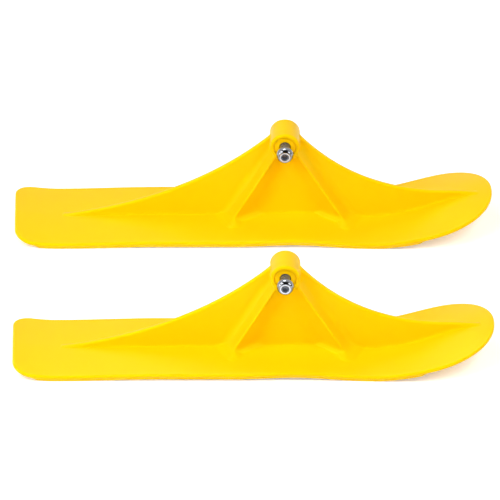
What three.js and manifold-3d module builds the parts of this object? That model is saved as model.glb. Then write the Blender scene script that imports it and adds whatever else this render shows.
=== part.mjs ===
// A pair of moulded ski blades that take the place of a kick scooter's two wheels.
// Millimetres, +X towards the nose, +Y away from the near side, +Z up.
// The origin is on the ground under the middle of the pair.
import * as THREE from "three";
import { mergeVertices } from "three/addons/utils/BufferGeometryUtils.js";
import Module from "manifold-3d";

const wasm = await Module();
wasm.setup();

// The pair
const SKI_SPACING = 186.5;
const RUNNING_GAP = 0.3;
const CUT_OVERRUN = 1;
const WELD_DISTANCE = 0.0001;

// Outline of one ski, measured from its hub axis
const TAIL_REACH = 215;
const NOSE_REACH = 165;
const BODY_WIDTH = 80.4;
const TAIL_CORNER_RADIUS = 15.5;
const FLARE_START = 60;
const SHOVEL_X = 115;
const SHOVEL_WIDTH = 87.4;
const NOSE_FULLNESS_SHARE = 2.18;

// Plate: wall, crown and curve along the ski
const PLATE_WALL = 3.4;
const EDGE_ROUND = 1.2;
const BODY_CROWN = 1.6;
const NOSE_CROWN = 6.6;
const NOSE_CROWN_START = 88;
const CROWN_POWER_SHARE = 1.6;
const CAMBER = 3.3;
const CAMBER_PEAK_X = 8;
const REAR_LIFT = 1.7;
const REAR_LIFT_LENGTH = 80;
const ARCH_LENGTH = 48;
const REAR_CONTACT = 180;
const FRONT_CONTACT = 66;
const ROCKER_START = 67;
const ROCKER_EASE = 29;
const ROCKER_SLOPE_SHARE = 0.33;
const TAIL_CURL = 4.5;
const TAIL_CURL_LENGTH = 35;

// Edge rails under the sole
const RAIL_DEPTH = 2;
const RAIL_WIDTH = 3;
const RAIL_INSET = 0.8;
const RAIL_RAMP = 5;
const RAIL_TAIL_SETBACK = 14.4;
const RAIL_NOSE_SETBACK = 52.4;

// Hub and its bore
const HUB_HEIGHT = 73.3;
const HUB_DIAMETER = 24;
const HUB_WIDTH = 24;
const HUB_RIM_ROUND = 1.6;
const BUSHING_DIAMETER = 12;
const FLANGE_DIAMETER = 17.6;
const FLANGE_THICKNESS = 2;
const FACE_RECESS = 1;
const SPACER_LENGTH = 10;
const SPACER_DIAMETER = 11;

// Centre fin
const FIN_THICKNESS = 4;
const FIN_TOP_ROUND = 1.4;
const FIN_ROOT_FILLET = 3;
const FIN_END_HEIGHT = 1.1;
const FIN_TAIL_SETBACK = 39;
const FIN_DIP_SETBACK = 38;
const FIN_NOSE_SETBACK = 12;
const FIN_SHOULDER_OUT = 12.4;
const FIN_SHOULDER_UP = 3.8;
const FIN_DIP_HEIGHT = 24.7;
const REAR_BEND_SHARES = [0.384, 0.216];
const FRONT_BEND_SHARE = 0.393;
const NOSE_BEND_SHARE = 0.5;

// Gusset ribs on both sides of the fin
const RIB_TIP_THICKNESS = 1.6;
const RIB_OUTER_DRAFT_SHARE = 0.5;
const RIB_INNER_DRAFT_SHARE = 1.6;
const RIB_TOE_DRAFT_SHARE = 0.45;
const REAR_RIB_FOOT_OUT = 42.4;
const REAR_RIB_HEAD_OUT = 6.2;
const FRONT_RIB_FOOT_OUT = 48.8;
const FRONT_RIB_HEAD_OUT = 9.4;
const RIB_HEAD_DROP = 6;
const RIB_FOOT_REACH = 12.6;
const RIB_HEAD_INSET = 0.8;
const RIB_TOE_REACH = 11;
const RIB_TOE_HEIGHT = 6.5;
const RIB_TOE_STEP_SHARES = [0, 0.1, 0.3, 0.6, 1];
const RIB_TOE_POWER = 4;
const RIB_TIP_STEP = 0.1;

// Axle: barrel with its head on the near side, screw from the far side
const AXLE_DIAMETER = 8;
const AXLE_STAND_OUT = 9;
const HEAD_DIAMETER = 13.5;
const HEAD_HEIGHT = 5.2;
const HEAD_FLAT_DIAMETER = 8.4;
const HEAD_RIM = 1.1;
const SOCKET_FLATS = 5;
const SOCKET_DEPTH = 2.8;
const BARREL_SETBACK = 3.3;
const BARREL_BORE_DEPTH = 14;
const SCREW_DIAMETER = 6;
const SCREW_LENGTH = 14;
const SHANK_CHAMFER = 0.6;

// How finely curves are stepped
const TAIL_STEPS = 5;
const BODY_STEP = 20;
const FLARE_STEPS = 4;
const NOSE_STEPS = 8;
const NOSE_LAST_SHARE = 0.965;
const BEZIER_STEPS = 9;
const NOSE_BEZIER_STEPS = 3;
const ROUND_STEPS = 2;
const HUB_SIDES = 40;
const HARDWARE_SIDES = 32;
const HEXAGON_SIDES = 6;
const HEAD_STEPS = 5;
const ACROSS_SHARES = [0.3, 0.58, 0.82];
const SLIM_SHARE = 0.45;

// Worked out from the sizes above
const HUB_AHEAD = (TAIL_REACH - NOSE_REACH) / 2;
const SOLE_DEPTH = PLATE_WALL + RAIL_DEPTH;
const HALF_HUB = HUB_WIDTH / 2;
const BUSHING_FACE = HALF_HUB - FACE_RECESS;
const BUSHING_LENGTH = BUSHING_FACE - SPACER_LENGTH / 2 - RUNNING_GAP;
const AXLE_BORE_RADIUS = AXLE_DIAMETER / 2 + RUNNING_GAP;
const NEAR_HEAD_SEAT = -HALF_HUB - AXLE_STAND_OUT;
const FAR_HEAD_SEAT = BUSHING_FACE + RUNNING_GAP;

const YELLOW = "#ffd500";
const STEEL = "#c9cbcf";
const FINISHES = {
  blade: { color: YELLOW, roughness: 0.42, metalness: 0 },
  bushing: { color: "#f8c501", roughness: 0.5, metalness: 0 },
  spacer: { color: "#9a9ca0", roughness: 0.4, metalness: 1 },
  axle: { color: STEEL, roughness: 0.15, metalness: 1 },
};

// Eases from 0 to 1 without a corner at either end.
function ease(t) {
  const clamped = Math.min(1, Math.max(0, t));
  return clamped * clamped * (3 - 2 * clamped);
}

// Half the plate's width at a place along the ski.
function halfWidth(x) {
  const body = BODY_WIDTH / 2;
  const shovel = SHOVEL_WIDTH / 2;
  const cornerStart = TAIL_CORNER_RADIUS - TAIL_REACH;
  if (x < cornerStart) {
    const back = (cornerStart - x) / TAIL_CORNER_RADIUS;
    return body - TAIL_CORNER_RADIUS * (1 - Math.sqrt(Math.max(0, 1 - back * back)));
  }
  if (x <= SHOVEL_X) {
    return body + (shovel - body) * ease((x - FLARE_START) / (SHOVEL_X - FLARE_START));
  }
  const ahead = (x - SHOVEL_X) / (NOSE_REACH - SHOVEL_X);
  return shovel * (1 - ahead ** NOSE_FULLNESS_SHARE) ** (1 / NOSE_FULLNESS_SHARE);
}

// Height of the plate's upper edge over its flat level: camber, nose rocker and tail curl.
function edgeHeight(x) {
  const rearLift = REAR_LIFT * ease((x + REAR_CONTACT) / REAR_LIFT_LENGTH);
  const arch = (CAMBER - REAR_LIFT) * ease((x - CAMBER_PEAK_X + ARCH_LENGTH) / ARCH_LENGTH);
  const frontFall = ease((FRONT_CONTACT - x) / (FRONT_CONTACT - CAMBER_PEAK_X));
  const camber = (rearLift + arch) * frontFall;
  const ahead = Math.max(0, x - ROCKER_START);
  const rocker = ROCKER_SLOPE_SHARE * (Math.hypot(ahead, ROCKER_EASE) - ROCKER_EASE);
  const behind = Math.max(0, TAIL_CURL_LENGTH - TAIL_REACH - x) / TAIL_CURL_LENGTH;
  return camber + rocker + TAIL_CURL * behind * behind;
}

// How far out a place lies from the ski's middle line, or from the shovel's middle: 1 is on the outline.
function outwardShare(x, y) {
  if (x <= SHOVEL_X) return Math.abs(y) / halfWidth(x);
  const ahead = (x - SHOVEL_X) / (NOSE_REACH - SHOVEL_X);
  const aside = (2 * Math.abs(y)) / SHOVEL_WIDTH;
  return Math.hypot(ahead, aside);
}

// Height of the plate's upper face at a place along and across the ski: it stands highest in the middle.
function plateTop(x, y) {
  const rise = ease((x - NOSE_CROWN_START) / (NOSE_REACH - NOSE_CROWN_START));
  const crown = BODY_CROWN + (NOSE_CROWN - BODY_CROWN) * rise;
  return edgeHeight(x) + crown * (1 - Math.min(1, outwardShare(x, y)) ** CROWN_POWER_SHARE);
}

// Places along the ski where the plate gets a section, from tail to nose.
function plateStations() {
  const stations = [];
  for (let step = 0; step < TAIL_STEPS; step++) {
    const turn = (Math.PI / 2) * (step / TAIL_STEPS);
    stations.push(TAIL_CORNER_RADIUS * (1 - Math.cos(turn)) - TAIL_REACH);
  }
  const archStart = CAMBER_PEAK_X - ARCH_LENGTH;
  const marks = [TAIL_CORNER_RADIUS - TAIL_REACH, -REAR_CONTACT, archStart, CAMBER_PEAK_X, FRONT_CONTACT];
  for (let mark = 1; mark < marks.length; mark++) {
    const start = marks[mark - 1];
    const steps = Math.ceil((marks[mark] - start) / BODY_STEP);
    for (let step = 0; step < steps; step++) {
      stations.push(start + ((marks[mark] - start) * step) / steps);
    }
  }
  for (let step = 0; step < FLARE_STEPS; step++) {
    stations.push(FRONT_CONTACT + ((SHOVEL_X - FRONT_CONTACT) * step) / FLARE_STEPS);
  }
  for (let step = 0; step <= NOSE_STEPS; step++) {
    const turn = (Math.PI / 2) * NOSE_LAST_SHARE * (step / NOSE_STEPS);
    stations.push(SHOVEL_X + (NOSE_REACH - SHOVEL_X) * Math.sin(turn));
  }
  return stations;
}

// A closed section from its right half, listed from the bottom up.
function mirrored(x, rightHalf) {
  const ring = rightHalf.map(([y, z]) => new THREE.Vector3(x, y, z));
  for (let index = rightHalf.length - 1; index >= 0; index--) {
    const [y, z] = rightHalf[index];
    if (y > 0) ring.push(new THREE.Vector3(x, -y, z));
  }
  return ring;
}

// Points of a rounded corner around a centre, between two angles.
function corner(centreY, centreZ, radius, from, to) {
  const points = [];
  for (let step = 0; step <= ROUND_STEPS; step++) {
    const angle = from + ((to - from) * step) / ROUND_STEPS;
    points.push([centreY + radius * Math.cos(angle), centreZ + radius * Math.sin(angle)]);
  }
  return points;
}

// One section across the plate: a crowned wall of even thickness with rounded edges.
function plateSection(x) {
  const half = halfWidth(x);
  const round = Math.min(EDGE_ROUND, half * SLIM_SHARE);
  const lift = edgeHeight(x);
  const middle = plateTop(x, 0);
  const across = ACROSS_SHARES.map((share) => share * (half - round));
  return mirrored(x, [
    [0, middle - PLATE_WALL],
    ...across.map((y) => [y, plateTop(x, y) - PLATE_WALL]),
    ...corner(half - round, lift - PLATE_WALL + round, round, -Math.PI / 2, 0),
    ...corner(half - round, lift - round, round, 0, Math.PI / 2),
    ...across.reverse().map((y) => [y, plateTop(x, y)]),
    [0, middle],
  ]);
}

// Skins a row of equal closed sections, listed towards +X, and closes both ends.
function loft(sections) {
  const count = sections[0].length;
  const positions = sections.flat().flatMap((point) => [point.x, point.y, point.z]);
  const faces = [];
  for (let section = 1; section < sections.length; section++) {
    for (let point = 0; point < count; point++) {
      const next = (point + 1) % count;
      const a = (section - 1) * count + point;
      const b = (section - 1) * count + next;
      faces.push(a, b, b + count);
      faces.push(a, b + count, a + count);
    }
  }
  const last = (sections.length - 1) * count;
  for (const [offset, forward] of [[0, false], [last, true]]) {
    const ring = sections[offset / count];
    const flat = ring.map((point) => new THREE.Vector2(point.y, point.z));
    for (const [a, b, c] of THREE.ShapeUtils.triangulateShape(flat, [])) {
      faces.push(...(forward ? [a, b, c] : [a, c, b]).map((index) => index + offset));
    }
  }
  return new THREE.BufferGeometry()
    .setAttribute("position", new THREE.Float32BufferAttribute(positions, 3))
    .setIndex(faces);
}

// Turns a profile of [radius, place along Y] around the Y axis.
function turned(profile, sides) {
  return new THREE.LatheGeometry(profile.map(([radius, y]) => new THREE.Vector2(radius, y)), sides);
}

// A closed mesh as a solid that can be joined and cut.
function solidOf(geometry) {
  const bare = geometry.clone();
  bare.deleteAttribute("normal");
  bare.deleteAttribute("uv");
  const merged = mergeVertices(bare, WELD_DISTANCE);
  return new wasm.Manifold(
    new wasm.Mesh({
      numProp: 3,
      vertProperties: new Float32Array(merged.attributes.position.array),
      triVerts: new Uint32Array(merged.index.array),
    }),
  );
}

// A joined or cut solid as a geometry with sharp, flat-shaded faces.
function geometryOf(solid) {
  const mesh = solid.getMesh();
  const geometry = new THREE.BufferGeometry()
    .setAttribute("position", new THREE.BufferAttribute(new Float32Array(mesh.vertProperties), mesh.numProp))
    .setIndex(new THREE.BufferAttribute(new Uint32Array(mesh.triVerts), 1));
  geometry.computeVertexNormals();
  return geometry;
}

// Base plate of the ski.
function plateSolid() {
  return solidOf(loft(plateStations().map(plateSection)));
}

// One edge rail under the sole, on the side given by its sign.
function railSolid(side) {
  const rear = RAIL_TAIL_SETBACK - TAIL_REACH;
  const front = NOSE_REACH - RAIL_NOSE_SETBACK;
  const between = plateStations().filter((x) => x > rear + RAIL_RAMP && x < front - RAIL_RAMP);
  const stations = [rear, rear + RAIL_RAMP, ...between, front - RAIL_RAMP, front];
  return solidOf(
    loft(
      stations.map((x) => {
        const fromEnd = Math.min(x - rear, front - x);
        const depth = RAIL_DEPTH * Math.min(1, fromEnd / RAIL_RAMP);
        const outer = halfWidth(x) - RAIL_INSET;
        const top = edgeHeight(x) - PLATE_WALL / 2;
        const bottom = edgeHeight(x) - PLATE_WALL - depth;
        const low = side > 0 ? outer - RAIL_WIDTH : -outer;
        const high = low + RAIL_WIDTH;
        const corners = [[low, bottom], [high, bottom], [high, top], [low, top]];
        return corners.map(([y, z]) => new THREE.Vector3(x, y, z));
      }),
    ),
  );
}

// Points along the fin's upper edge, from tail to nose.
function finEdge() {
  const shoulderZ = HUB_HEIGHT + FIN_SHOULDER_UP;
  const tailX = FIN_TAIL_SETBACK - TAIL_REACH;
  const tailZ = plateTop(tailX, 0) + FIN_END_HEIGHT;
  const dipX = NOSE_REACH - FIN_DIP_SETBACK;
  const noseX = NOSE_REACH - FIN_NOSE_SETBACK;
  const noseZ = plateTop(noseX, 0) + FIN_END_HEIGHT;
  const [rearAlong, rearUp] = REAR_BEND_SHARES;
  const rear = new THREE.QuadraticBezierCurve(
    new THREE.Vector2(tailX, tailZ),
    new THREE.Vector2(
      -FIN_SHOULDER_OUT + (tailX + FIN_SHOULDER_OUT) * rearAlong,
      tailZ + (shoulderZ - tailZ) * rearUp,
    ),
    new THREE.Vector2(-FIN_SHOULDER_OUT, shoulderZ),
  );
  const front = new THREE.QuadraticBezierCurve(
    new THREE.Vector2(FIN_SHOULDER_OUT, shoulderZ),
    new THREE.Vector2(FIN_SHOULDER_OUT + (dipX - FIN_SHOULDER_OUT) * FRONT_BEND_SHARE, FIN_DIP_HEIGHT),
    new THREE.Vector2(dipX, FIN_DIP_HEIGHT),
  );
  const nose = new THREE.QuadraticBezierCurve(
    new THREE.Vector2(dipX, FIN_DIP_HEIGHT),
    new THREE.Vector2(dipX + (noseX - dipX) * NOSE_BEND_SHARE, FIN_DIP_HEIGHT),
    new THREE.Vector2(noseX, noseZ),
  );
  return [
    ...rear.getPoints(BEZIER_STEPS),
    ...front.getPoints(BEZIER_STEPS),
    ...nose.getPoints(NOSE_BEZIER_STEPS).slice(1),
  ];
}

// Centre fin, from the plate's middle up to its curved edge, with a filleted root.
function finSolid() {
  const half = FIN_THICKNESS / 2;
  return solidOf(
    loft(
      finEdge().map(({ x, y: top }) => {
        const rise = top - plateTop(x, 0);
        const fillet = Math.min(FIN_ROOT_FILLET, rise * SLIM_SHARE);
        const round = Math.min(FIN_TOP_ROUND, rise * SLIM_SHARE);
        const foot = plateTop(x, half + fillet);
        return mirrored(x, [
          [half + fillet, plateTop(x, 0) - PLATE_WALL / 2],
          [half + fillet, foot],
          ...corner(half + fillet, foot + fillet, fillet, -Math.PI / 2, -Math.PI).slice(1),
          ...corner(half - round, top - round, round, 0, Math.PI / 2),
        ]);
      }),
    ),
  );
}

// The pair of gusset ribs ahead of the hub, or behind it, as one wall through the fin. Towards its
// fellow under the hub each rib falls away in a wide slope, and on the other side it is steep. Its
// foot runs out over the plate in a low toe.
function ribSolid(end) {
  const footOut = end > 0 ? FRONT_RIB_FOOT_OUT : REAR_RIB_FOOT_OUT;
  const headOut = end > 0 ? FRONT_RIB_HEAD_OUT : REAR_RIB_HEAD_OUT;
  const headZ = HUB_HEIGHT - RIB_HEAD_DROP;
  const headReach = HALF_HUB - RIB_HEAD_INSET;
  const footTop = plateTop(end * footOut, 0);
  const toeLevels = RIB_TOE_STEP_SHARES.map((share) => {
    return [footTop + RIB_TOE_HEIGHT * share, RIB_TOE_REACH * (1 - share) ** RIB_TOE_POWER];
  });
  const levels = [[footTop - PLATE_WALL / 2, RIB_TOE_REACH], ...toeLevels, [headZ, 0]];
  const rings = levels.map(([z, toe]) => {
    const along = (z - footTop) / (headZ - footTop);
    const x = end * (footOut + (headOut - footOut) * along);
    const reach = RIB_FOOT_REACH + (headReach - RIB_FOOT_REACH) * along;
    const tip = RIB_TIP_THICKNESS / 2;
    const knee = tip + RIB_TOE_DRAFT_SHARE * toe;
    const outer = knee + RIB_OUTER_DRAFT_SHARE * reach;
    const inner = knee + RIB_INNER_DRAFT_SHARE * reach;
    // Corners across the rib, outwards from the ski's middle line, on the steep side first.
    const steep = [[outer, 0], [knee, reach], [tip, reach + toe + RIB_TIP_STEP]];
    const sloped = [[-tip, reach + toe + RIB_TIP_STEP], [-knee, reach], [-inner, 0]];
    const near = [...steep, ...sloped];
    const far = near.slice(1, -1).reverse().map(([across, out]) => [across, -out]);
    return [...near, ...far].map(([across, out]) => new THREE.Vector3(z, x + end * across, end * out));
  });
  // The rings were laid out with height first, so the axes are turned back into place here.
  const geometry = loft(rings);
  geometry.applyMatrix4(new THREE.Matrix4().set(0, 1, 0, 0, 0, 0, 1, 0, 1, 0, 0, 0, 0, 0, 0, 1));
  return solidOf(geometry);
}

// Cylindrical hub with rounded rims.
function hubSolid() {
  const radius = HUB_DIAMETER / 2;
  const rim = (from, to, y) => corner(radius - HUB_RIM_ROUND, y, HUB_RIM_ROUND, from, to);
  const profile = [
    [0, -HALF_HUB],
    ...rim(-Math.PI / 2, 0, HUB_RIM_ROUND - HALF_HUB),
    ...rim(0, Math.PI / 2, HALF_HUB - HUB_RIM_ROUND),
    [0, HALF_HUB],
  ];
  return solidOf(turned(profile, HUB_SIDES).translate(0, 0, HUB_HEIGHT));
}

// The space in the hub: through bore for the bushings and a wider seat for each flange.
function hubBoreSolid() {
  const bore = BUSHING_DIAMETER / 2 + RUNNING_GAP;
  const seat = FLANGE_DIAMETER / 2 + RUNNING_GAP;
  const seatFloor = BUSHING_FACE - FLANGE_THICKNESS - RUNNING_GAP;
  const mouth = HALF_HUB + CUT_OVERRUN;
  const profile = [
    [0, -mouth],
    [seat, -mouth],
    [seat, -seatFloor],
    [bore, -seatFloor],
    [bore, seatFloor],
    [seat, seatFloor],
    [seat, mouth],
    [0, mouth],
  ];
  return solidOf(turned(profile, HUB_SIDES).translate(0, 0, HUB_HEIGHT));
}

// One ski as it leaves the mould: plate, rails, fin, ribs and hub in one piece.
function bladeGeometry() {
  const joined = [railSolid(-1), railSolid(1), finSolid(), ribSolid(-1), ribSolid(1), hubSolid()].reduce(
    (whole, piece) => whole.add(piece),
    plateSolid(),
  );
  return geometryOf(joined.subtract(hubBoreSolid()));
}

// Flanged sleeve, its flange towards +Y and its outer face at the bushing face.
function bushingGeometry() {
  const bore = AXLE_BORE_RADIUS;
  const inner = BUSHING_FACE - BUSHING_LENGTH;
  const shoulder = BUSHING_FACE - FLANGE_THICKNESS;
  return turned(
    [
      [bore, inner],
      [BUSHING_DIAMETER / 2, inner],
      [BUSHING_DIAMETER / 2, shoulder],
      [FLANGE_DIAMETER / 2, shoulder],
      [FLANGE_DIAMETER / 2, BUSHING_FACE],
      [bore, BUSHING_FACE],
      [bore, inner],
    ],
    HARDWARE_SIDES,
  );
}

// Steel tube between the bushings.
function spacerGeometry() {
  const half = SPACER_LENGTH / 2;
  const outer = SPACER_DIAMETER / 2;
  return turned(
    [
      [AXLE_BORE_RADIUS, -half],
      [outer, -half],
      [outer, half],
      [AXLE_BORE_RADIUS, half],
      [AXLE_BORE_RADIUS, -half],
    ],
    HARDWARE_SIDES,
  );
}

// Profile of a button head, from its crown on the axis out to its seat, standing towards -Y.
function headProfile(seat) {
  const flat = HEAD_FLAT_DIAMETER / 2;
  const radius = HEAD_DIAMETER / 2;
  const points = [[0, seat - HEAD_HEIGHT]];
  for (let step = 0; step <= HEAD_STEPS; step++) {
    const turn = (Math.PI / 2) * (step / HEAD_STEPS);
    points.push([
      flat + (radius - flat) * Math.sin(turn),
      seat - HEAD_RIM - (HEAD_HEIGHT - HEAD_RIM) * Math.cos(turn),
    ]);
  }
  points.push([radius, seat]);
  return points;
}

// The hexagon socket in a head whose seat is given, open towards -Y.
function socketSolid(seat) {
  const length = SOCKET_DEPTH + CUT_OVERRUN;
  const crown = seat - HEAD_HEIGHT;
  const radius = SOCKET_FLATS / Math.sqrt(3);
  const socket = new THREE.CylinderGeometry(radius, radius, length, HEXAGON_SIDES);
  return solidOf(socket.translate(0, crown - CUT_OVERRUN + length / 2, 0));
}

// Axle barrel: button head on the near side, shank through the bushings, bore for the screw.
function barrelGeometry() {
  const end = FAR_HEAD_SEAT - BARREL_SETBACK;
  const radius = AXLE_DIAMETER / 2;
  const bore = SCREW_DIAMETER / 2 + RUNNING_GAP;
  const profile = [
    ...headProfile(NEAR_HEAD_SEAT),
    [radius, NEAR_HEAD_SEAT],
    [radius, end - SHANK_CHAMFER],
    [radius - SHANK_CHAMFER / 2, end],
    [bore, end],
    [bore, end - BARREL_BORE_DEPTH],
    [0, end - BARREL_BORE_DEPTH],
  ];
  return geometryOf(solidOf(turned(profile, HARDWARE_SIDES)).subtract(socketSolid(NEAR_HEAD_SEAT)));
}

// Axle screw, drawn with its head towards -Y; it is turned round when it is placed.
function screwGeometry() {
  const radius = SCREW_DIAMETER / 2;
  const end = SCREW_LENGTH - FAR_HEAD_SEAT;
  const profile = [
    ...headProfile(-FAR_HEAD_SEAT),
    [radius, -FAR_HEAD_SEAT],
    [radius, end - SHANK_CHAMFER],
    [radius - SHANK_CHAMFER, end],
    [0, end],
  ];
  return geometryOf(solidOf(turned(profile, HARDWARE_SIDES)).subtract(socketSolid(-FAR_HEAD_SEAT)));
}

function named(name, geometry, finish) {
  const mesh = new THREE.Mesh(geometry, new THREE.MeshStandardMaterial(FINISHES[finish]));
  mesh.name = name;
  return mesh;
}

// One ski with its bushings, spacer and axle, all placed about its hub.
function skiGroup(prefix) {
  const ski = new THREE.Group();
  ski.add(named(`${prefix}_ski_blade`, bladeGeometry(), "blade"));
  const bore = new THREE.Group();
  bore.position.z = HUB_HEIGHT;
  const near = named(`${prefix}_near_bushing`, bushingGeometry(), "bushing");
  near.rotation.z = Math.PI;
  const far = named(`${prefix}_far_bushing`, bushingGeometry(), "bushing");
  const spacer = named(`${prefix}_spacer_tube`, spacerGeometry(), "spacer");
  const barrel = named(`${prefix}_axle_barrel`, barrelGeometry(), "axle");
  const screw = named(`${prefix}_axle_screw`, screwGeometry(), "axle");
  screw.rotation.z = Math.PI;
  bore.add(near, far, spacer, barrel, screw);
  ski.add(bore);
  return ski;
}

const pair = new THREE.Group();
for (const [prefix, side] of [["front", -1], ["rear", 1]]) {
  const ski = skiGroup(prefix);
  ski.position.set(HUB_AHEAD, (side * SKI_SPACING) / 2, SOLE_DEPTH);
  pair.add(ski);
}

export default pair;
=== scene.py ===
"""Looks of a pair of moulded ski blades that take the place of a kick scooter's two wheels.

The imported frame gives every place. The plastic mouldings are skinned from distance fields, so that
ribs, fin, hub and plate run into each other with the soft fillets of a real moulding. The axle
hardware is turned from rings. The pieces' sizes are millimetres, like the drawing of the part, and
the studio's are metres.
"""

import logging
import math
from collections.abc import Callable, Iterable, Sequence
from dataclasses import dataclass, field
from enum import Enum, IntEnum

import bpy
import numpy as np
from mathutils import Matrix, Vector


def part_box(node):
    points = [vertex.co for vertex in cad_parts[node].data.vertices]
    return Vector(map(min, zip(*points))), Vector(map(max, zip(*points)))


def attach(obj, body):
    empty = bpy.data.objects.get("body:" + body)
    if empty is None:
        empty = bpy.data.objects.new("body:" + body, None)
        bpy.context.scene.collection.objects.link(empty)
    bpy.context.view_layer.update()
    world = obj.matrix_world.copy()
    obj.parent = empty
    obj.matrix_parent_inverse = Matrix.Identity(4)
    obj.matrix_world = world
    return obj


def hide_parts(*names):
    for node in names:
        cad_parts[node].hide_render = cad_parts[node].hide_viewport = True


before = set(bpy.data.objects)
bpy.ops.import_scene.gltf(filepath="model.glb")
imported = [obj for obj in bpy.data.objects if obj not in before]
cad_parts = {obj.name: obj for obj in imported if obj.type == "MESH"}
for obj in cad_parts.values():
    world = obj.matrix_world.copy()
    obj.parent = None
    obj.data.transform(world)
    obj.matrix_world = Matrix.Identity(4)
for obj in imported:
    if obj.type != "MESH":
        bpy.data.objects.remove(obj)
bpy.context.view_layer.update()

MM = 0.001
LOG = logging.getLogger("ski_blades")
MIXED_COLOUR = 2  # The number of a Mix node's colour output.

Array = np.ndarray
Colour = tuple[float, float, float, float]


class SkiPlace(Enum):
    """Which ski of the pair a piece belongs to. The value starts the names of its nodes and bodies."""

    FRONT = "front"
    REAR = "rear"

    def named(self, piece: str) -> str:
        """Gives a piece's full name, which starts with the ski's own."""
        return f"{self.value}_{piece}"


class Side(Enum):
    """The side of the hub that a piece sits on; the value is its sign along Y."""

    NEAR = -1
    FAR = 1


class MixInput(IntEnum):
    """Numbers of a Mix node's inputs; it has an A and a B for each kind of data."""

    FACTOR = 0
    NUMBER_A = 2
    NUMBER_B = 3
    COLOUR_A = 6
    COLOUR_B = 7


def linear(hex_colour: str) -> Colour:
    """Turns an sRGB hex colour into Blender's linear colour.

    Args:
        hex_colour: a colour such as "#ffd200".

    Returns:
        Linear red, green, blue and an alpha of 1.
    """
    channels = [int(hex_colour[start : start + 2], 16) / 255 for start in (1, 3, 5)]
    low = [c / 12.92 if c <= 0.04045 else ((c + 0.055) / 1.055) ** 2.4 for c in channels]
    return (low[0], low[1], low[2], 1.0)


def add_node(
    tree: bpy.types.NodeTree,
    kind: str,
    values: dict[str | int, object] | None = None,
    links: dict[str | int, bpy.types.NodeSocket] | None = None,
    **settings: object,
) -> bpy.types.Node:
    """Adds one node with its settings, its input values and its incoming links.

    Args:
        tree: the node tree that gets the node.
        kind: Blender's name of the node type, without the words that all of them start with.
        values: input values by the input's name or number.
        links: outputs of other nodes, by the name or number of the input that takes them.
        settings: properties of the node itself.

    Returns:
        The new node.
    """
    node = tree.nodes.new(f"ShaderNode{kind}")
    for name, value in settings.items():
        setattr(node, name, value)
    for key, value in (values or {}).items():
        node.inputs[key].default_value = value
    for key, socket in (links or {}).items():
        tree.links.new(socket, node.inputs[key])
    return node


def empty_material(name: str) -> bpy.types.Material:
    """Makes a material with an empty node tree.

    Args:
        name: the material's name.

    Returns:
        The material.
    """
    material = bpy.data.materials.new(name)
    material.use_nodes = True
    material.node_tree.nodes.clear()
    return material


def noise_scale(feature_mm: float) -> float:
    """Gives the noise scale, for coordinates in metres, at which one patch has a real width."""
    return 1 / (feature_mm * MM)


@dataclass(frozen=True)
class MouldedPlastic:
    """Injection-moulded thermoplastic with through-dyed colour and a satin, spark-eroded skin."""

    name: str
    colour: str
    paler: str
    roughness: float
    roughness_spread: float
    subsurface: float
    bleed_mm: float = 4.0
    bleed_shares: tuple[float, float, float] = (1.0, 0.9, 0.3)
    dye_patch_mm: float = 55.0
    skin_grain_mm: float = 1.6
    skin_depth_mm: float = 0.012
    ripple_mm: float = 34.0
    ripple_depth_mm: float = 0.06
    drift_span: tuple[float, float] = (0.3, 0.7)
    ior: float = 1.5
    specular: float = 0.4
    specular_tint: str = "#ffd000"

    def material(self) -> bpy.types.Material:
        """Builds the plastic's material.

        Returns:
            A material whose dye, gloss and skin vary as a moulding's do.
        """
        material = empty_material(self.name)
        tree = material.node_tree
        place = add_node(tree, "TexCoord").outputs["Object"]
        # Dye never mixes quite evenly, so the eye sees broad clouds of a slightly paler colour.
        dye = add_node(
            tree,
            "TexNoise",
            {"Scale": noise_scale(self.dye_patch_mm), "Detail": 2.0, "Roughness": 0.45},
            {"Vector": place},
        )
        colour = add_node(
            tree,
            "Mix",
            {MixInput.COLOUR_A: linear(self.colour), MixInput.COLOUR_B: linear(self.paler)},
            {MixInput.FACTOR: dye.outputs["Fac"]},
            data_type="RGBA",
        )
        # Polished and worn spots of the mould leave gloss that drifts across the faces.
        drift = add_node(
            tree, "TexNoise", {"Scale": noise_scale(self.ripple_mm), "Detail": 3.0}, {"Vector": place}
        )
        gloss = add_node(
            tree,
            "MapRange",
            {
                "From Min": self.drift_span[0],
                "From Max": self.drift_span[1],
                "To Min": self.roughness - self.roughness_spread,
                "To Max": self.roughness + self.roughness_spread,
            },
            {"Value": drift.outputs["Fac"]},
        )
        # The mould's fine grain is under a pixel wide, so it is drawn coarser than it is.
        grain = add_node(
            tree, "TexNoise", {"Scale": noise_scale(self.skin_grain_mm), "Detail": 2.0}, {"Vector": place}
        )
        skin = add_node(
            tree,
            "Bump",
            {"Strength": 1.0, "Distance": self.skin_depth_mm * MM},
            {"Height": grain.outputs["Fac"]},
        )
        # Shrinkage while cooling leaves long, shallow ripples that bend reflections a little.
        ripples = add_node(
            tree,
            "Bump",
            {"Strength": 1.0, "Distance": self.ripple_depth_mm * MM},
            {"Height": drift.outputs["Fac"], "Normal": skin.outputs["Normal"]},
        )
        shader = add_node(
            tree,
            "BsdfPrincipled",
            {
                "IOR": self.ior,
                "Specular IOR Level": self.specular,
                "Specular Tint": linear(self.specular_tint),
                "Subsurface Weight": self.subsurface,
                "Subsurface Radius": self.bleed_shares,
                "Subsurface Scale": self.bleed_mm * MM,
            },
            {
                "Base Color": colour.outputs[MIXED_COLOUR],
                "Roughness": gloss.outputs["Result"],
                "Normal": ripples.outputs["Normal"],
            },
        )
        add_node(tree, "OutputMaterial", links={"Surface": shader.outputs["BSDF"]})
        return material


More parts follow.
